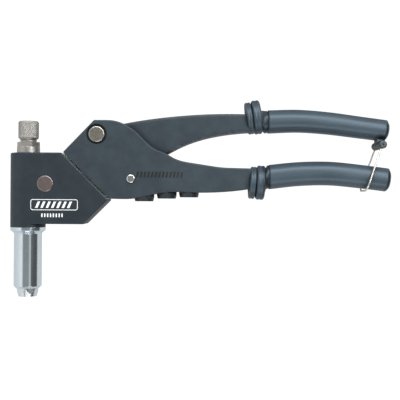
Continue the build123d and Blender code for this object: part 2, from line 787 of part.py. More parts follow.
def build_roller():
    """Cam roller and its pin in the lever's fork."""
    with BuildPart() as roller:
        with BuildSketch(Plane.XZ):
            with Locations((ROLLER_X, ROLLER_Z)):
                Circle(ROLLER_R)
                Circle(ROLLER_PIN_R + RUN, mode=Mode.SUBTRACT)
        extrude(amount=ROLLER_HALF, both=True)
    save(roller, "cam_roller")
    with BuildPart() as pin:
        with BuildSketch(Plane.XZ):
            with Locations((ROLLER_X, ROLLER_Z)):
                Circle(ROLLER_PIN_R)
        extrude(amount=LEVER_HALF, both=True)
    save(pin, "cam_roller_pin")


def guard_ring(x, z, radius, half, lean):
    """Round-edged guard disc of a grip, leaning by some degrees."""
    turn = math.radians(lean)
    facing = (math.cos(turn), 0, math.sin(turn))
    with BuildPart() as guard:
        with BuildSketch(Plane(origin=(x, 0, z), x_dir=(0, 1, 0), z_dir=facing)):
            Circle(radius)
        extrude(amount=half, both=True)
        fillet(guard.edges().filter_by(GeomType.CIRCLE), half * 0.92)
    return guard.part


def build_grip(name, height, path, core_path, guards, pocket, fittings):
    """Soft grip pushed over a handle's core, with its two round guards."""
    rings = [guard_ring(*guard) for guard in guards]
    with BuildPart() as grip:
        with BuildSketch(section_plane(path, 0)):
            core_section(height, GRIP_HALF, 7.0)
        sweep(path=path)
        tip = grip.faces().sort_by(Axis.X)[-1]
        fillet(tip.edges(), GRIP_END_ROUND)
        for ring in rings:
            add(ring)
        with BuildSketch(section_plane(core_path, 0)):
            core_section(CORE_HEIGHT, CORE_HALF, 2.0)
        sweep(path=core_path, mode=Mode.SUBTRACT)
        # pocket that takes the end of the casting's full section
        end, bottom, top = pocket
        with BuildSketch(Plane.XZ):
            with Locations((end - 10.0, (bottom + top) / 2)):
                Rectangle(20.0, top - bottom)
        extrude(amount=POCKET_HALF, both=True, mode=Mode.SUBTRACT)
        for fitting in fittings:
            add(fitting.part, mode=Mode.SUBTRACT)
    save(grip, name)


def leg_slot_outline():
    """Outline round the lug's axis that clears a leg of the wire over the latch's whole swing."""
    reach = LUG_R + 1.2
    clear = WIRE_R + GAP
    hooked = -90 - BAIL_TILT
    opened = hooked + BAIL_SWING
    start = polar(0, 0, clear, hooked - 90)
    end = polar(0, 0, clear, opened + 90)
    rim = [polar(0, 0, reach, hooked + BAIL_SWING * share / 4) for share in range(5)]
    return [start, polar(*start, reach, hooked), *rim, polar(*end, reach, opened), end]


def build_latch_lug():
    """Cross tube on a stem under the moving handle, which carries the wire latch."""
    stud_top = 122.0
    with BuildPart() as lug:
        with BuildSketch(side_plane(0, LUG_X, LUG_Z)):
            Circle(LUG_R)
        extrude(amount=LUG_HALF, both=True)
        fillet(lug.edges(), 0.8)
        with BuildSketch(Plane(origin=(LUG_X, 0, LUG_Z))):
            Rectangle(5.0, 9.0)
        extrude(amount=LUG_SEAT - LUG_Z)
        with BuildSketch(Plane(origin=(LUG_X, 0, LUG_SEAT))):
            Circle(LUG_STUD_R)
        extrude(amount=stud_top - LUG_SEAT)
        with BuildSketch(side_plane(0, LUG_X, LUG_Z)):
            Circle(WIRE_R + RUN)
        extrude(amount=LUG_HALF, both=True, mode=Mode.SUBTRACT)
        # slots for the wire's legs, open over the latch's whole swing
        for floor in (-LEG_SLOT[0], LEG_SLOT[1]):
            with BuildSketch(side_plane(floor, LUG_X, LUG_Z)):
                with BuildLine():
                    Polyline(*leg_slot_outline(), close=True)
                make_face()
            extrude(amount=LEG_SLOT[1] - LEG_SLOT[0], mode=Mode.SUBTRACT)
    save(lug, "latch_lug")
    return lug


def build_latch_wire():
    """Spring wire bail: both ends in the lug, hooked under the fixed handle's grip."""
    tilt = math.radians(BAIL_TILT)
    hang = Plane(
        origin=(LUG_X, 0, LUG_Z),
        x_dir=(0, 1, 0),
        z_dir=(math.cos(tilt), 0, -math.sin(tilt)),
    )
    with BuildLine(hang) as line:
        FilletPolyline(
            (-BAIL_ENDS, 0),
            (-BAIL_HALF, 0),
            (-BAIL_LOW_HALF, -BAIL_DROP),
            (BAIL_LOW_HALF, -BAIL_DROP),
            (BAIL_HALF, 0),
            (BAIL_ENDS, 0),
            radius=(0.9, 6.0, 6.0, 0.9),
        )
    path = line.line
    with BuildPart() as wire:
        with BuildSketch(Plane(origin=path @ 0, z_dir=path % 0)):
            Circle(WIRE_R)
        sweep(path=path)
    save(wire, "latch_wire")


build_head_housing()
build_nose_tube()
build_nosepiece("fitted_nosepiece", 0.0, 0.0, FITTED_BORE_R)
for index, ((x, z), bore_r) in enumerate(zip(SPARE_PLACES, SPARE_BORE_R)):
    build_nosepiece(f"spare_nosepiece_{index + 1}", x, z, bore_r)
build_plug()
build_knob()
build_headed_pin(
    "rocker_pin", ROCKER_X, ROCKER_Z, ROCKER_PIN_R, ROCKER_PIN_HEAD_R, CAST_HALF - 1.5, 0.5
)
build_pin_ring("rocker_pin_ring", ROCKER_X, ROCKER_Z, ROCKER_PIN_R)
build_rocker()
build_bush("rocker_bush", ROCKER_X, ROCKER_Z, ROCKER_PIN_R + RUN, 6.0, ROCKER_HALF)
build_jaw_case()
build_case_coupler()
build_case_nut()
build_jaws()
build_pusher()
build_jaw_spring()
build_swivel_sleeve()
build_swivel_washer()
build_push_rod()
build_return_spring()
body = build_body_casting()
build_stop_pin()
build_headed_pin(
    "handle_pivot_pin", PIVOT_X, PIVOT_Z, PIVOT_R, PIVOT_HEAD_R, CAST_HALF - 1.4, 0.7
)
build_pin_ring("pivot_pin_ring", PIVOT_X, PIVOT_Z, PIVOT_R)
lever = build_lever()
build_bush("pivot_bush", PIVOT_X, PIVOT_Z, PIVOT_R + RUN, BUSH_R, LEVER_HALF)
build_roller()
lug = build_latch_lug()
build_grip(
    "upper_grip",
    UPPER_GRIP_HEIGHT,
    handle_path((156.4, 123.8), *UPPER_BEND, (255.0, 119.1)),
    UPPER_CORE,
    UPPER_GUARDS,
    (UPPER_CAST_END + 0.1, 117.0, 130.0),
    [lug],
)
build_grip(
    "lower_grip",
    LOWER_GRIP_HEIGHT,
    handle_path((157.0, 84.7), *LOWER_BEND, (256.3, 83.8)),
    LOWER_CORE,
    LOWER_GUARDS,
    (LOWER_CAST_END + 0.1, 76.4, 91.7),
    [],
)
build_latch_wire()
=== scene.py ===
import json
import math

import bmesh
import bpy
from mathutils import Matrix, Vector
from mathutils.bvhtree import BVHTree


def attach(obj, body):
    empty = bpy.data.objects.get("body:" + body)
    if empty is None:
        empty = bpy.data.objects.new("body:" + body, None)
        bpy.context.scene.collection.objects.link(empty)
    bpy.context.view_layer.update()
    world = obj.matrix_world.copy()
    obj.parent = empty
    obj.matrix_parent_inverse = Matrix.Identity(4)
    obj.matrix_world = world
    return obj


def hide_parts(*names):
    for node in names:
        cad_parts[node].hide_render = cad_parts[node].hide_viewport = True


# Looks of the swivel-head hand riveter. Lengths in this script are millimetres and are turned
# into metres by MM. X runs towards the handles, Z is up, and the front faces look along -Y.

MM = 0.001

COOL = (0.72, 0.90, 1.0, 1.0)  # tint of the shine on paint and vinyl
SWIVEL_AXIS = (math.sqrt(0.5), 0.0, math.sqrt(0.5))
SWIVEL_LEVEL = (42.9 + 84.6) * math.sqrt(0.5)  # split between head and body along that axis
BARE_HALF = 0.56  # bare metal on either side of the split
# limits along X where the vinyl's painted shade darkens the grips' necks
NECK = (166.3, 170.2)  # where the grips' necks run along X

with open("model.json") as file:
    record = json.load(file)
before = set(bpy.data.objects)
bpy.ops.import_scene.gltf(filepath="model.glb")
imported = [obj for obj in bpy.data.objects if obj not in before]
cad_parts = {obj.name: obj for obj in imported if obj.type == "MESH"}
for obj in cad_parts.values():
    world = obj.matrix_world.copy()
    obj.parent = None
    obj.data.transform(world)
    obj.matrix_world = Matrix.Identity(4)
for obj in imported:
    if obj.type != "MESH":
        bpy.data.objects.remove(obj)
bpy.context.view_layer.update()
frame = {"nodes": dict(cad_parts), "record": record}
nodes = frame["nodes"]


# ---------------------------------------------------------------- mesh helpers
def ring_mesh(name, rings, body, material, closed_loop=False):
    """Skins rings of equal length with quads. The ends are capped unless the rings form a loop."""
    mesh = bmesh.new()
    rows = [[mesh.verts.new(Vector(p) * MM) for p in ring] for ring in rings]
    count = len(rows[0])
    spans = list(zip(rows, rows[1:]))
    if closed_loop:
        spans.append((rows[-1], rows[0]))
    for low, high in spans:
        for i in range(count):
            j = (i + 1) % count
            mesh.faces.new((low[i], low[j], high[j], high[i]))
    if not closed_loop:
        mesh.faces.new(list(reversed(rows[0])))
        mesh.faces.new(rows[-1])
    return finish_mesh(mesh, name, body, material)


def finish_mesh(mesh, name, body, material, smooth=True):
    """Turns a bmesh into a piece of the object that rides on a CAD body."""
    bmesh.ops.recalc_face_normals(mesh, faces=mesh.faces)
    data = bpy.data.meshes.new(name)
    mesh.to_mesh(data)
    mesh.free()
    piece = bpy.data.objects.new(name, data)
    bpy.context.scene.collection.objects.link(piece)
    piece.data.materials.append(material)
    if smooth:
        for face in data.polygons:
            face.use_smooth = len(face.vertices) < 12
    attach(piece, body)
    return piece


def along(points, share):
    """Point of a smooth curve through (x, z) points, at a share of its length from 0 to 1."""
    reach = share * (len(points) - 1)
    index = min(int(reach), len(points) - 2)
    t = reach - index
    before = points[max(index - 1, 0)]
    start = points[index]
    end = points[index + 1]
    after = points[min(index + 2, len(points) - 1)]
    place = []
    for a, b, c, d in zip(before, start, end, after):
        place.append(
            b + 0.5 * t * (c - a + t * (2 * a - 5 * b + 4 * c - d + t * (3 * (b - c) + d - a)))
        )
    return place


# ---------------------------------------------------------------- material helpers
class Graph:
    """A node tree with short calls to add and link nodes."""

    def __init__(self, tree):
        self.tree = tree

    def add(self, kind, **settings):
        node = self.tree.nodes.new(kind)
        for key, value in settings.items():
            setattr(node, key, value)
        return node

    def join(self, output, target):
        self.tree.links.new(output, target)

    def feed(self, value, target):
        """Sets a socket to a number, or links an output to it."""
        if isinstance(value, (int, float)):
            target.default_value = value
        else:
            self.join(value, target)

    def math(self, kind, first, second):
        node = self.add("ShaderNodeMath", operation=kind)
        self.feed(first, node.inputs[0])
        self.feed(second, node.inputs[1])
        return node.outputs["Value"]

    def ramp(self, value, stops):
        """Grey level that eases between (position, level) stops."""
        node = self.add("ShaderNodeValToRGB")
        node.color_ramp.interpolation = "EASE"
        while len(node.color_ramp.elements) < len(stops):
            node.color_ramp.elements.new(0.5)
        for element, (place, level) in zip(node.color_ramp.elements, stops):
            element.position = place
            element.color = (level, level, level, 1.0)
        self.join(value, node.inputs["Fac"])
        return node.outputs["Color"]


class Recipe(Graph):
    """A Principled material with short calls for the nodes that vary it."""

    def __init__(self, name):
        self.material = bpy.data.materials.new(name)
        self.material.use_nodes = True
        super().__init__(self.material.node_tree)
        self.shader = self.tree.nodes["Principled BSDF"]
        self.place = self.add("ShaderNodeTexCoord").outputs["Object"]

    def noise(self, size, detail=4.0, rough=0.6, stretch=(1, 1, 1)):
        """Noise with features of some millimetres, stretched along the axes."""
        scaling = self.add("ShaderNodeMapping")
        scaling.inputs["Scale"].default_value = [s / (size * MM) for s in stretch]
        self.join(self.place, scaling.inputs["Vector"])
        node = self.add("ShaderNodeTexNoise")
        node.inputs["Scale"].default_value = 1.0
        node.inputs["Detail"].default_value = detail
        node.inputs["Roughness"].default_value = rough
        self.join(scaling.outputs["Vector"], node.inputs["Vector"])
        return node.outputs["Fac"]

    def remap(self, value, low, high, out_low, out_high):
        """Value from low..high moved to out_low..out_high."""
        node = self.add("ShaderNodeMapRange")
        for index, number in enumerate((low, high, out_low, out_high)):
            node.inputs[index + 1].default_value = number
        self.join(value, node.inputs["Value"])
        return node.outputs["Result"]

    def blend(self, share, first, second):
        """Colour between two colours or colour outputs, by a share from 0 to 1."""
        node = self.add("ShaderNodeMix", data_type="RGBA")
        self.feed(share, node.inputs["Factor"])
        for socket, colour in ((node.inputs[6], first), (node.inputs[7], second)):
            if isinstance(colour, tuple):
                socket.default_value = (*colour, 1.0)
            else:
                self.join(colour, socket)
        return node.outputs[2]

    def edges(self, radius):
        """(normal, edge mask): a rounded normal at sharp edges, and how far it leaves the flat one;
        the coats paint scuffs and an edge highlight with the mask.
        """
        bevel = self.add("ShaderNodeBevel", samples=6)
        bevel.inputs["Radius"].default_value = radius * MM
        flat = self.add("ShaderNodeNewGeometry")
        dot = self.add("ShaderNodeVectorMath", operation="DOT_PRODUCT")
        self.join(bevel.outputs["Normal"], dot.inputs[0])
        self.join(flat.outputs["Normal"], dot.inputs[1])
        edge_wear_and_highlight = self.remap(dot.outputs["Value"], 0.985, 0.80, 0.0, 1.0)
        return bevel.outputs["Normal"], edge_wear_and_highlight

    def shade(self, colour, reach):
        """Colour darkened by painted shade in crevices narrower than a reach in millimetres."""
        node = self.add("ShaderNodeAmbientOcclusion", samples=8)
        node.inputs["Distance"].default_value = reach * MM
        depth = self.math("POWER", node.outputs["AO"], 1.6)
        return self.blend(depth, (0.0, 0.0, 0.0), colour)

    def within(self, value, low, high, soft):
        """1 where a value lies between two limits in millimetres, with soft ends, else 0."""
        rise = self.remap(value, (low - soft) * MM, low * MM, 0.0, 1.0)
        fall = self.remap(value, high * MM, (high + soft) * MM, 1.0, 0.0)
        return self.math("MULTIPLY", rise, fall)

    def bump(self, height, depth, normal=None):
        """Bump from a height output from 0 to 1, that many millimetres deep."""
        node = self.add("ShaderNodeBump")
        node.inputs["Distance"].default_value = depth * MM
        node.inputs["Strength"].default_value = 1.0
        self.join(height, node.inputs["Height"])
        if normal is not None:
            self.join(normal, node.inputs["Normal"])
        self.join(node.outputs["Normal"], self.shader.inputs["Normal"])

    def set(self, **values):
        """Uniform values of the shader: names with spaces as underscores."""
        for key, value in values.items():
            self.shader.inputs[key.replace("_", " ")].default_value = value


def powder_coat(name, base, second_tone, edge):
    """Satin textured powder coat: mottled, finely pebbled, paler at edges from scuffing and from a
    painted edge highlight, and darkened in crevices by painted shade.
    """
    coat = Recipe(name)
    mottle = coat.noise(9.0, detail=5.0)
    speck = coat.noise(0.45, detail=2.0)
    deep = tuple(c * 0.82 for c in base)
    pale = tuple(c * 1.16 for c in base)
    tone = coat.blend(coat.remap(mottle, 0.35, 0.68, 0.0, 1.0), deep, pale)
    fine = coat.blend(coat.remap(speck, 0.55, 0.75, 0.0, 0.35), tone, pale)
    # edges turn pale: scuffed paint together with a painted edge highlight, broad where the edge
    # radius is large
    normal, edge_wear_and_highlight = coat.edges(edge)
    scuffed_and_highlit = coat.math("MULTIPLY", edge_wear_and_highlight, coat.remap(coat.noise(2.2), 0.42, 0.62, 0.15, 0.8))
    # painted shade darkens the crevices
    painted = coat.shade(coat.blend(scuffed_and_highlit, fine, second_tone), 4.0)
    # the two faces that turn on each other are bare metal
    along_swivel = coat.add("ShaderNodeVectorMath", operation="DOT_PRODUCT")
    along_swivel.inputs[1].default_value = SWIVEL_AXIS
    coat.join(coat.place, along_swivel.inputs[0])
    level = along_swivel.outputs["Value"]
    bare = coat.within(level, SWIVEL_LEVEL - BARE_HALF, SWIVEL_LEVEL + BARE_HALF, 0.04)
    coat.join(coat.blend(bare, painted, (0.85, 0.85, 0.84)), coat.shader.inputs["Base Color"])
    coat.join(coat.remap(speck, 0.3, 0.7, 0.42, 0.56), coat.shader.inputs["Roughness"])
    coat.join(bare, coat.shader.inputs["Metallic"])
    coat.bump(speck, 0.05, normal)
    coat.set(Specular_IOR_Level=0.5, Specular_Tint=COOL)
    return coat.material


def soft_vinyl(name, base):
    """Dipped vinyl: smooth and satin, with faint flow marks in tone and roughness, painted shade on
    the necks behind the guards, and painted shade in crevices.
    """
    vinyl = Recipe(name)
    flow = vinyl.noise(14.0, detail=3.0, stretch=(0.35, 1, 1))
    grain = vinyl.noise(0.7, detail=3.0)
    deep = tuple(c * 0.85 for c in base)
    pale = tuple(c * 1.2 for c in base)
    tone = vinyl.blend(vinyl.remap(flow, 0.3, 0.7, 0.0, 1.0), deep, pale)
    split = vinyl.add("ShaderNodeSeparateXYZ")
    vinyl.join(vinyl.place, split.inputs["Vector"])
    # painted shade: the guards shade the necks behind them, so the necks are darkened towards
    # near-black
    neck = vinyl.math("MULTIPLY", vinyl.within(split.outputs["X"], *NECK, 0.5), 0.6)
    neck_shade_painted = vinyl.blend(neck, tone, (0.006, 0.008, 0.010))
    # painted shade darkens the crevices
    vinyl.join(vinyl.shade(neck_shade_painted, 5.0), vinyl.shader.inputs["Base Color"])
    vinyl.join(vinyl.remap(flow, 0.3, 0.7, 0.36, 0.46), vinyl.shader.inputs["Roughness"])
    height = vinyl.math("ADD", vinyl.math("MULTIPLY", grain, 0.25), flow)
    vinyl.bump(height, 0.10)
    vinyl.set(Specular_IOR_Level=0.55, Specular_Tint=COOL)
    return vinyl.material


def plated(name, base, dull, roughness, stretch=(1, 1, 1), lines=0.5, depth=0.004, edge=0.25):
    """Plated or bare metal: fine tool lines along one direction, dull patches, edges brightened by
    scuffing and by a painted edge highlight.
    """
    metal = Recipe(name)
    patch = metal.noise(6.0, detail=4.0)
    streak = metal.noise(lines, detail=3.0, stretch=stretch)
    tone = metal.blend(metal.remap(patch, 0.4, 0.7, 0.0, 0.6), base, dull)
    normal, edge_wear_and_highlight = metal.edges(edge)
    bright = tuple(min(1.0, c * 1.25) for c in base)
    # edges turn brighter: scuffed metal together with a painted edge highlight
    scuffed_and_highlit = metal.math("MULTIPLY", edge_wear_and_highlight, 0.5)
    metal.join(metal.blend(scuffed_and_highlit, tone, bright), metal.shader.inputs["Base Color"])
    rough = metal.remap(streak, 0.3, 0.7, roughness * 0.8, roughness * 1.25)
    metal.join(rough, metal.shader.inputs["Roughness"])
    metal.bump(streak, depth, normal)
    metal.set(Metallic=1.0)
    return metal.material


def print_ink(name, base, second_tone):
    """Screen-printed ink with slightly broken cover."""
    ink = Recipe(name)
    gap = ink.remap(ink.noise(0.4, detail=2.0), 0.62, 0.75, 0.0, 0.5)
    ink.join(ink.blend(gap, base, second_tone), ink.shader.inputs["Base Color"])
    ink.join(ink.remap(ink.noise(0.8), 0.3, 0.7, 0.4, 0.6), ink.shader.inputs["Roughness"])
    return ink.material


coat = powder_coat("powder_coat", (0.028, 0.037, 0.045), (0.10, 0.11, 0.12), 0.35)
# a darker copy of the powder coat for the head: painted shade
shaded_head_coat = powder_coat("shaded_head_coat", (0.018, 0.024, 0.030), (0.10, 0.11, 0.12), 0.35)
# a slightly darker copy for the lever, painted shade, whose 3 mm edge mask paints a broad highlight
# along the lever's rounded edges
handle_coat_lit_edges = powder_coat("handle_coat_lit_edges", (0.025, 0.033, 0.041), (0.10, 0.11, 0.12), 3.0)
vinyl = soft_vinyl("soft_vinyl", (0.042, 0.060, 0.077))
zinc = plated("zinc_plate", (0.72, 0.81, 0.86), (0.62, 0.71, 0.77), 0.15, stretch=(1, 1, 0.04))
nickel = plated("nickel", (0.47, 0.455, 0.43), (0.40, 0.385, 0.36), 0.44, stretch=(0.3, 0.3, 1))
knurl = plated(
    "knurled_nickel", (0.40, 0.388, 0.366), (0.34, 0.328, 0.306), 0.48, stretch=(0.3, 0.3, 1)
)
chrome = plated("bright_pin", (0.86, 0.86, 0.85), (0.74, 0.74, 0.73), 0.10, lines=1.5)
bright_steel = plated(
    "bright_steel", (0.78, 0.84, 0.88), (0.62, 0.68, 0.72), 0.26, stretch=(1, 1, 0.04)
)
bright_wire = plated(
    "bright_wire", (0.74, 0.72, 0.69), (0.66, 0.64, 0.61), 0.36, lines=2.0, depth=0.001
)
plain_steel = plated("plain_steel", (0.42, 0.42, 0.41), (0.34, 0.33, 0.32), 0.35)
polished = plated("polished_steel", (0.47, 0.45, 0.40), (0.38, 0.36, 0.31), 0.30, lines=1.2)
copper_grey = plated("copper_grey_steel", (0.36, 0.30, 0.29), (0.28, 0.23, 0.22), 0.34, lines=1.2)
black_steel = plated("black_steel", (0.075, 0.090, 0.100), (0.055, 0.065, 0.074), 0.45)
wire_steel = plated("spring_wire", (0.78, 0.75, 0.71), (0.30, 0.27, 0.24), 0.20, lines=0.8)
bronze = plated("bronze", (0.42, 0.28, 0.13), (0.33, 0.21, 0.10), 0.40)
ink = print_ink("white_ink", (0.90, 0.92, 0.93), (0.55, 0.57, 0.58))
# near-black bars for the body's recessed lettering: painted shade of the recesses
recess_shade_ink = print_ink("painted_recess_shade", (0.004, 0.005, 0.006), (0.010, 0.011, 0.012))

SLOT_MATERIALS = {
    "cast_enamel": coat,
    "soft_grip": vinyl,
    "zinc_plate": zinc,
    "nickel": nickel,
    "plain_steel": plain_steel,
    "polished_steel": polished,
    "copper_grey_steel": copper_grey,
    "black_steel": black_steel,
    "spring_wire": wire_steel,
    "bronze": bronze,
}


# nodes that look different from the rest of their slot; the head's and the lever's coats are copies
# of the powder coat with painted shade, and the lever's adds a painted edge highlight
NODE_MATERIALS = {
    "upper_handle_lever": handle_coat_lit_edges,
    "head_housing": shaded_head_coat,
    "stop_pin": chrome,
    "fitted_nosepiece": bright_steel,
    "latch_wire": bright_wire,
}


def dress_cad_nodes():
    """Gives every CAD node its own material, or else that of its slot."""
    for entry in frame["record"]["subparts"]:
        name = entry["node"]
        material = NODE_MATERIALS.get(name, SLOT_MATERIALS[entry["material_slot"]])
        nodes[name].data.materials.clear()
        nodes[name].data.materials.append(material)


# ---------------------------------------------------------------- grips
AROUND = 96
CREASE_LEVEL = -0.80  # share of the half height at which the grip's seam crease runs
CREASE_WIDTH = 0.07
GRIP_HALF = 10.3  # half the sleeve's width
END_ROUND = 3.6  # rounding of the sleeve's closed end
SHOULDER = 1.2  # rounding where the sleeve leaves its neck
VALLEY = 0.35  # depth of the groove round each guard
GAP_RADIUS = 8.6  # between the two guards


def section(x, z, half, rise, power, lean=0.0, crease=0.0):
    """Points round a grip: a superellipse about (x, z), leaning by some degrees."""
    turn = math.radians(lean)
    points = []
    for index in range(AROUND):
        angle = 2 * math.pi * index / AROUND
        across = abs(math.cos(angle)) ** (2 / power) * math.copysign(1, math.cos(angle))
        up = abs(math.sin(angle)) ** (2 / power) * math.copysign(1, math.sin(angle))
        pinch = crease * math.exp(-(((up - CREASE_LEVEL) / CREASE_WIDTH) ** 2))
        y = across * (half - pinch)
        v = up * (rise - pinch)
        points.append((x - v * math.sin(turn), y, z + v * math.cos(turn)))
    return points


def guard_sections(x, z, radius, half, lean):
    """Sections of a rolled guard: two round lobes with a shallow valley between them."""
    steps = 9
    turn = math.radians(lean)
    lobe = half * 0.62
    rings = []
    for step in range(-steps, steps + 1):
        offset = half * math.sin(math.pi / 2 * step / steps)
        outside = max(abs(offset) - (half - lobe), 0.0)
        reach = radius - lobe + math.sqrt(lobe**2 - outside**2)
        reach -= VALLEY * math.exp(-((offset / (0.22 * half)) ** 2))
        centre_x = x + offset * math.cos(turn)
        centre_z = z + offset * math.sin(turn)
        rings.append(section(centre_x, centre_z, reach, reach, 2.0, lean))
    return rings


def neck_sections(second, sleeve_x, sleeve_z, height, power):
    """Sections of the neck behind the second guard, and of the sleeve's shoulder."""
    guard_x, guard_z, guard_radius, guard_half, guard_lean = second
    start = guard_x + guard_half + 0.1
    flare_z = (guard_z + sleeve_z) / 2
    lean = guard_lean * 1.6
    rise = height / 2 - 0.5
    rings = [
        section(start + 0.5, flare_z, guard_radius - 2.4, guard_radius - 2.2, 2.0, lean),
        section(start + 1.5, sleeve_z, GRIP_HALF - 1.3, rise + 0.5, power, lean),
        section(sleeve_x - 0.6, sleeve_z, GRIP_HALF - 1.4, rise, power),
    ]
    for inset in (SHOULDER, 0.35, 0.0):
        x = sleeve_x - 0.3 + 0.3 * (SHOULDER - inset)
        rings.append(section(x, sleeve_z, GRIP_HALF - inset, height / 2 - inset, power))
    return rings


def grip(name, body, node, line, heights, power, guards, mouth, crease):
    """Soft grip: mouth round the casting, two rolled guards, a neck darkened by painted shade in the
    vinyl, and the long sleeve.
    """
    first, second = guards
    mouth_x, mouth_z, mouth_half, mouth_rise = mouth
    sleeve_x, sleeve_z = line[0]
    end_x = line[-1][0]
    rings = [
        section(mouth_x + 5.0, mouth_z, mouth_half, mouth_rise, 4.0, first[4]),
        section(mouth_x, mouth_z, mouth_half, mouth_rise, 4.0, first[4]),
    ]
    rings += guard_sections(*first)
    gap_x = (first[0] + first[3] + second[0] - second[3]) / 2
    gap_z = (first[1] + second[1]) / 2
    gap_lean = (first[4] + second[4]) / 2
    rings.append(section(gap_x, gap_z, GAP_RADIUS, GAP_RADIUS, 2.0, gap_lean))
    rings += guard_sections(*second)
    rings += neck_sections(second, sleeve_x, sleeve_z, heights[0], power)

    def rise_at(share):
        return (heights[0] + (heights[1] - heights[0]) * share) / 2

    steps = 40
    last_share = (end_x - END_ROUND - sleeve_x) / (end_x - sleeve_x)
    for step in range(1, steps + 1):
        share = last_share * step / steps
        x, z = along(line, share)
        ahead_x, ahead_z = along(line, share + 0.01)
        lean = math.degrees(math.atan2(ahead_z - z, ahead_x - x))
        depth = crease * min(1.0, share * 8)
        rings.append(section(x, z, GRIP_HALF, rise_at(share), power, lean, depth))

    # rounded end; it keeps the lean of the sleeve's last section
    corner_steps = 7
    rise = rise_at(last_share)
    last_z = z
    for step in range(1, corner_steps + 1):
        angle = math.pi / 2 * step / corner_steps
        inset = END_ROUND * (1 - math.cos(angle))
        forward = END_ROUND * 0.8 * math.sin(angle)
        x = end_x - END_ROUND + forward
        z = last_z + math.tan(math.radians(lean)) * forward
        depth = crease * (1 - step / corner_steps)
        rings.append(section(x, z, GRIP_HALF - inset, rise - inset, power, lean, depth))

    # slightly domed end
    for share in (0.6, 0.25):
        x += 0.3
        half = (GRIP_HALF - END_ROUND) * share
        rings.append(section(x, z, half, (rise - END_ROUND) * share, power, lean))
    sleeve = ring_mesh(name, rings, body, vinyl)
    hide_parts(node)


def build_grips():
    """Both grips. Guards are (x, z, radius, half length, lean); mouths are (x, z, half, rise)."""
    grip(
        "upper_grip_sleeve",
        "upper_handle",
        "upper_grip",
        line=((170.2, 124.8), (191.3, 125.5), (212.7, 124.1), (234.0, 121.5), (255.7, 118.8)),
        heights=(16.5, 15.2),
        power=2.1,
        guards=((156.9, 127.2, 11.4, 2.1, 8.6), (162.1, 128.05, 12.1, 3.0, 7.2)),
        mouth=(155.4, 123.3, 8.1, 6.5),
        crease=0.45,
    )
    grip(
        "lower_grip_sleeve",
        "body",
        "lower_grip",
        line=((171.2, 85.6), (192.2, 87.9), (213.8, 88.4), (235.4, 86.5), (257.0, 83.9)),
        heights=(17.3, 16.5),
        power=2.35,
        guards=((159.6, 81.5, 11.5, 2.2, -4.8), (165.1, 81.6, 12.2, 3.1, -2.9)),
        mouth=(157.0, 84.4, 8.2, 7.2),
        crease=0.0,
    )


# ---------------------------------------------------------------- knob
DIAMONDS = 32  # round the knurl
SAMPLES = 8  # points round each diamond
KNOB_RADIUS = 7.2
KNURL_CUT = 0.32


def knurled_ring(z, low, pitch):
    """Points round the knob at a height: diamonds cut by two crossing sets of grooves."""
    climb = (z - low) / pitch
    count = DIAMONDS * SAMPLES
    ring = []
    for index in range(count):
        angle = 2 * math.pi * index / count
        turns = index / SAMPLES
        rise = min(wave(turns + climb), wave(turns - climb))
        reach = KNOB_RADIUS - KNURL_CUT + KNURL_CUT * min(1.0, rise * 1.3)
        ring.append((reach * math.cos(angle), reach * math.sin(angle), z))
    return ring


def build_knob():
    """Outlet knob with a diamond knurl between two chamfers, and a bore right through."""
    low = 112.3
    high = 123.3
    rows = 60
    count = DIAMONDS * SAMPLES
    pitch = 2 * math.pi * KNOB_RADIUS / DIAMONDS
    stem = ((2.7, 102.8), (4.5, 102.8), (4.5, 109.6), (5.6, 109.6), (5.6, 110.4), (6.4, 111.6))
    top = ((6.5, 124.0), (3.4, 124.0), (2.7, 123.3))
    rings = [circle(reach, z, count) for reach, z in stem]
    for row in range(rows + 1):
        rings.append(knurled_ring(low + (high - low) * row / rows, low, pitch))
    rings += [circle(reach, z, count) for reach, z in top]
    knob = ring_mesh("knurled_knob", rings, "knob", knurl, closed_loop=True)
    for face in knob.data.polygons:
        face.use_smooth = False
    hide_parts("mandrel_knob")


def circle(radius, z, count):
    """Points of a level circle round the nose axis."""
    turn = 2 * math.pi / count
    return [(radius * math.cos(turn * i), radius * math.sin(turn * i), z) for i in range(count)]


def wave(value):
    """Triangle wave from 0 at whole numbers to 1 half way between them."""
    return 1 - abs(2 * (value % 1.0) - 1)


# ---------------------------------------------------------------- generic marks
MARK_LIFT = 0.03  # how far prints stand above the surface
MARK_SINK = 0.05  # how far they reach into it


def front_surface(node):
    """Function that gives the front y of a CAD node at (x, z), in millimetres."""
    tree = BVHTree.FromObject(nodes[node], bpy.context.evaluated_depsgraph_get())

    def at(x, z):
        hit = tree.ray_cast(Vector((x * MM, -0.1, z * MM)), Vector((0, 1, 0)))
        return hit[0].y / MM

    return at


def lay_shapes(name, node, body, material, outlines):
    """Thin flat shapes laid on a node's front, each an outline and a hole of (x, z) points."""
    front = front_surface(node)
    mesh = bmesh.new()
    for outline, hole in outlines:
        layers = []
        for offset in (-MARK_LIFT, MARK_SINK):
            loops = []
            for points in (outline, hole):
                places = [(x * MM, (front(x, z) + offset) * MM, z * MM) for x, z in points]
                loops.append([mesh.verts.new(place) for place in places])
            layers.append(loops)
        (top_out, top_in), (low_out, low_in) = layers
        count = len(top_out)
        for i in range(count):
            j = (i + 1) % count
            mesh.faces.new((top_out[i], top_out[j], low_out[j], low_out[i]))
            if hole:
                mesh.faces.new((top_in[j], top_in[i], low_in[i], low_in[j]))
                mesh.faces.new((top_out[j], top_out[i], top_in[i], top_in[j]))
                mesh.faces.new((low_out[i], low_out[j], low_in[j], low_in[i]))
        if not hole:
            mesh.faces.new(top_out)
            mesh.faces.new(list(reversed(low_out)))
    finish_mesh(mesh, name, body, material, smooth=False)


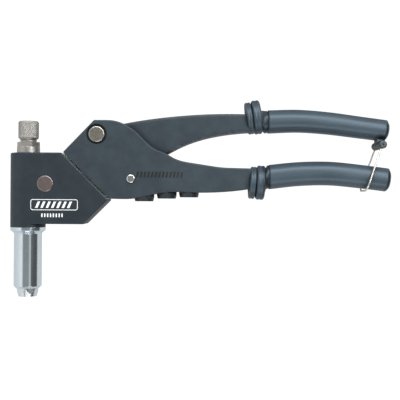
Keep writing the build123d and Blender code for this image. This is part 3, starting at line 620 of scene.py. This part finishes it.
def rounded_box(left, bottom, right, top, corner):
    """Outline of a rounded rectangle."""
    steps = 6
    outline = []
    for centre_x, centre_z, start in (
        (right - corner, top - corner, 0),
        (left + corner, top - corner, 90),
        (left + corner, bottom + corner, 180),
        (right - corner, bottom + corner, 270),
    ):
        for step in range(steps + 1):
            angle = math.radians(start + 90 * step / steps)
            outline.append((centre_x + corner * math.cos(angle), centre_z + corner * math.sin(angle)))
    return outline


def slanted_bar(x, bottom, top, width, slant):
    """Outline of a bar that leans to the right."""
    return [(x, bottom), (x + width, bottom), (x + width + slant, top), (x + slant, top)]


def bar_row(count, start, spacing, bottom, top, width, slant):
    """A row of equal bars, as outlines without holes."""
    bars = []
    for index in range(count):
        bars.append((slanted_bar(start + spacing * index, bottom, top, width, slant), []))
    return bars


def build_marks():
    """Plain printed frame with bars and a tick row on the head, and near-black bars on the body that
    paint the shade of its recessed lettering.
    """
    left, bottom, right, top = 4.4, 61.2, 37.3, 68.8
    corner = 1.6
    rim = 0.45
    inset = 1.6
    outer = rounded_box(left, bottom, right, top, corner)
    inner = rounded_box(left + rim, bottom + rim, right - rim, top - rim, corner - rim)
    panel = [(outer, inner)]
    panel += bar_row(7, left + 3.2, 3.7, bottom + inset, top - inset, 1.7, 1.9)
    lay_shapes("front_mark", "head_housing", "head", ink, panel)
    ticks = bar_row(8, 12.0, 2.0, 56.4, 58.9, 0.9, 0.0)
    lay_shapes("front_ticks", "head_housing", "head", ink, ticks)
    # the body's lettering as near-black bars: painted shade of recessed letters
    bars = bar_row(13, 77.6, 2.55, 84.4, 88.4, 1.35, 0.9)
    lay_shapes("body_bars", "body_casting", "body", recess_shade_ink, bars)


# ---------------------------------------------------------------- light, backdrop and camera
# round the nose's axis, in degrees from the front: bright left, grey front, dark right
SIDES = (
    (-180, 0.80),
    (-110, 0.80),
    (-85, 0.85),
    (-36, 1.05),
    (-24, 0.30),
    (12, 0.28),
    (20, 0.80),
    (31, 0.80),
    (42, 0.12),
    (90, 0.10),
    (103, 0.80),
    (180, 0.80),
)
# over the handles' axis, in degrees up from the front: soft bands in front, above and below
ARCH = (
    (-180, 0.60),
    (-110, 0.75),
    (-85, 0.45),
    (-62, 0.40),
    (-45, 0.12),
    (-28, 0.14),
    (-12, 0.38),
    (5, 0.26),
    (22, 0.12),
    (50, 0.12),
    (62, 0.40),
    (95, 0.40),
    (110, 0.14),
    (180, 0.20),
)


def band(graph, rise, run, levels):
    """Grey levels by the angle round an axis, with the front at 0 degrees."""
    turn = graph.math("ARCTAN2", rise, run)
    share = graph.math("ADD", graph.math("DIVIDE", turn, 2 * math.pi), 0.5)
    return graph.ramp(share, [(degrees / 360 + 0.5, level) for degrees, level in levels])


def build_world():
    """Studio round the object: white to the camera, and a banded light box to everything else."""
    world = bpy.data.worlds.new("studio")
    bpy.context.scene.world = world
    world.use_nodes = True
    graph = Graph(world.node_tree)
    graph.tree.nodes.clear()
    direction = graph.add("ShaderNodeTexCoord").outputs["Generated"]
    split = graph.add("ShaderNodeSeparateXYZ")
    graph.join(direction, split.inputs["Vector"])
    toward = graph.math("MULTIPLY", split.outputs["Y"], -1.0)
    sides = band(graph, split.outputs["X"], toward, SIDES)
    arch = band(graph, split.outputs["Z"], toward, ARCH)
    aside = graph.math("ABSOLUTE", split.outputs["X"], 0.0)
    share = graph.ramp(aside, ((0.0, 0.0), (0.30, 0.0), (0.55, 1.0), (1.0, 1.0)))
    mix = graph.add("ShaderNodeMix", data_type="RGBA")
    graph.join(share, mix.inputs["Factor"])
    graph.join(arch, mix.inputs[6])
    graph.join(sides, mix.inputs[7])

    studio = graph.add("ShaderNodeBackground")
    studio.inputs["Strength"].default_value = 0.9
    graph.join(mix.outputs[2], studio.inputs["Color"])
    white = graph.add("ShaderNodeBackground")
    white.inputs["Color"].default_value = (1, 1, 1, 1)
    white.inputs["Strength"].default_value = 1.05
    path = graph.add("ShaderNodeLightPath")
    choose = graph.add("ShaderNodeMixShader")
    graph.join(path.outputs["Is Camera Ray"], choose.inputs["Fac"])
    graph.join(studio.outputs["Background"], choose.inputs[1])
    graph.join(white.outputs["Background"], choose.inputs[2])
    output = graph.add("ShaderNodeOutputWorld")
    graph.join(choose.outputs["Shader"], output.inputs["Surface"])


def area_light(name, place, aim, size, power):
    """Rectangular soft box that looks at a point. Metres and watts."""
    data = bpy.data.lights.new(name, "AREA")
    data.shape = "RECTANGLE"
    data.size, data.size_y = size
    data.energy = power
    light = bpy.data.objects.new(name, data)
    light.location = place
    light.rotation_euler = (Vector(aim) - Vector(place)).to_track_quat("-Z", "Y").to_euler()
    bpy.context.scene.collection.objects.link(light)


def build_lights():
    """Three soft boxes: above the front, at the right, and low in front."""
    middle = (0.12, 0.0, 0.09)
    area_light("top_box", (0.16, -0.50, 0.66), middle, (0.9, 0.34), 6.6)
    area_light("right_fill", (0.44, -0.42, 0.26), middle, (0.25, 0.25), 1.3)
    area_light("low_fill", (0.18, -0.45, -0.55), middle, (0.7, 0.30), 2.4)


def build_camera():
    """Camera that looks at the front with a long lens."""
    data = bpy.data.cameras.new("camera")
    data.lens = 67.0
    data.sensor_width = 36.0
    data.clip_start = 0.01
    camera = bpy.data.objects.new("camera", data)
    camera.location = (0.1223, -0.53, 0.069)
    camera.rotation_euler = (math.radians(90), math.radians(-0.40), 0)
    bpy.context.scene.collection.objects.link(camera)
    bpy.context.scene.camera = camera
    bpy.context.scene.view_settings.view_transform = "Standard"


dress_cad_nodes()
build_grips()
build_knob()
build_marks()
build_world()
build_lights()
build_camera()
